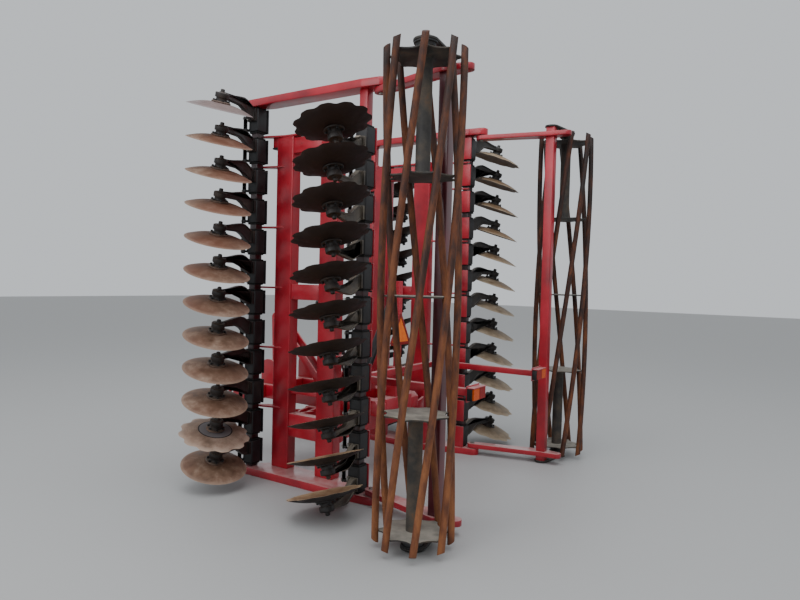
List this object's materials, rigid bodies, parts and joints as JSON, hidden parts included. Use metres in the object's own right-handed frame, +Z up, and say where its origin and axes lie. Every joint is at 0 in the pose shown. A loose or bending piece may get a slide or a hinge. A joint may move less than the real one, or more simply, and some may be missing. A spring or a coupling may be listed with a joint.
{
  "type": "folded mounted disc harrow",
  "caption": "Mounted compact disc harrow, its two wings of notched discs and cage rollers folded upright about a centre frame with a three-point headstock.",
  "frame": {"origin": "middle of the base: on the ground, in the middle plane, halfway along the machine", "axes": "+X to the machine's right, +Y in the direction of travel, +Z up"},
  "size_m": [3.1526, 2.7912, 3.105],
  "materials": {
    "red_paint": "satin",
    "black_parts": "satin",
    "disc_steel": "worn",
    "rusty_bars": "rusty",
    "roller_core": "worn",
    "bright_steel": "satin",
    "lamp_lens": "gloss",
    "sign_face": "gloss"
  },
  "bodies": {
    "centre": {"centre_frame": "red_paint", "long_tubes": "red_paint", "centre_lugs": "red_paint", "cylinder_tower": "red_paint", "headstock": "red_paint", "hinge_pins": "bright_steel", "cylinder_pins": "bright_steel", "lamp_arms": "red_paint", "rear_lamps": "lamp_lens", "slow_sign": "sign_face"},
    "wing_left": {"wing_frame_left": "red_paint", "rungs_left": "red_paint", "end_beams_left": "red_paint", "link_plates_left": "red_paint", "hinge_lugs_left": "red_paint", "back_plates_left": "red_paint", "clamps_front_left": "black_parts", "clamps_rear_left": "black_parts", "arms_front_left": "black_parts", "arms_rear_left": "black_parts", "discs_front_left": "disc_steel", "discs_rear_left": "disc_steel", "pivot_pins_left": "bright_steel"},
    "depth_frame_left": {"roller_frame_left": "red_paint", "roller_bearings_left": "black_parts"},
    "roller_left": {"roller_core_left": "roller_core", "roller_bars_left": "rusty_bars"},
    "barrel_left": {"cylinder_barrel_left": "black_parts"},
    "rod_left": {"cylinder_rod_left": "bright_steel"},
    "wing_right": {"wing_frame_right": "red_paint", "rungs_right": "red_paint", "end_beams_right": "red_paint", "link_plates_right": "red_paint", "hinge_lugs_right": "red_paint", "back_plates_right": "red_paint", "clamps_front_right": "black_parts", "clamps_rear_right": "black_parts", "arms_front_right": "black_parts", "arms_rear_right": "black_parts", "discs_front_right": "disc_steel", "discs_rear_right": "disc_steel", "pivot_pins_right": "bright_steel"},
    "depth_frame_right": {"roller_frame_right": "red_paint", "roller_bearings_right": "black_parts"},
    "roller_right": {"roller_core_right": "roller_core", "roller_bars_right": "rusty_bars"},
    "barrel_right": {"cylinder_barrel_right": "black_parts"},
    "rod_right": {"cylinder_rod_right": "bright_steel"}
  },
  "joints": [
    {"name": "fold_left", "type": "hinge", "parent": "centre", "child": "wing_left", "pos_m": [-0.435, 0.294, 0.43], "axis": [0, -1, 0], "range_deg": [0, 90]},
    {"name": "fold_right", "type": "hinge", "parent": "centre", "child": "wing_right", "pos_m": [0.435, 0.294, 0.43], "axis": [0, 1, 0], "range_deg": [0, 90]},
    {"name": "roller_depth_left", "type": "hinge", "parent": "wing_left", "child": "depth_frame_left", "pos_m": [-0.835, -0.4785, 1.54], "axis": [0, 0, 1], "range_deg": [-5, 6]},
    {"name": "roller_depth_right", "type": "hinge", "parent": "wing_right", "child": "depth_frame_right", "pos_m": [0.835, -0.4785, 1.54], "axis": [0, 0, -1], "range_deg": [-5, 6]},
    {"name": "roller_spin_left", "type": "hinge", "parent": "depth_frame_left", "child": "roller_left", "pos_m": [-1.32, -1.1385, 1.54], "axis": [0, 0, 1], "continuous": true},
    {"name": "roller_spin_right", "type": "hinge", "parent": "depth_frame_right", "child": "roller_right", "pos_m": [1.32, -1.1385, 1.54], "axis": [0, 0, 1], "continuous": true},
    {"name": "cylinder_swing_left", "type": "hinge", "parent": "centre", "child": "barrel_left", "pos_m": [-0.12, 0.294, 0.78], "axis": [0, -1, 0], "range_deg": [0, 77.58]},
    {"name": "cylinder_reach_left", "type": "slide", "parent": "barrel_left", "child": "rod_left", "axis": [-0.531, 0, 0.8474], "range_m": [0, 0.6175]},
    {"name": "cylinder_swing_right", "type": "hinge", "parent": "centre", "child": "barrel_right", "pos_m": [0.12, 0.294, 0.78], "axis": [0, 1, 0], "range_deg": [0, 77.58]},
    {"name": "cylinder_reach_right", "type": "slide", "parent": "barrel_right", "child": "rod_right", "axis": [0.531, 0, 0.8474], "range_m": [0, 0.6175]}
  ],
  "couplings": [
    {"joint": "cylinder_swing_left", "follows": "fold_left", "ratio": 0.86186},
    {"joint": "cylinder_reach_left", "follows": "fold_left", "m_per_rad": 0.39299},
    {"joint": "cylinder_swing_right", "follows": "fold_right", "ratio": 0.86186},
    {"joint": "cylinder_reach_right", "follows": "fold_right", "m_per_rad": 0.39299}
  ]
}
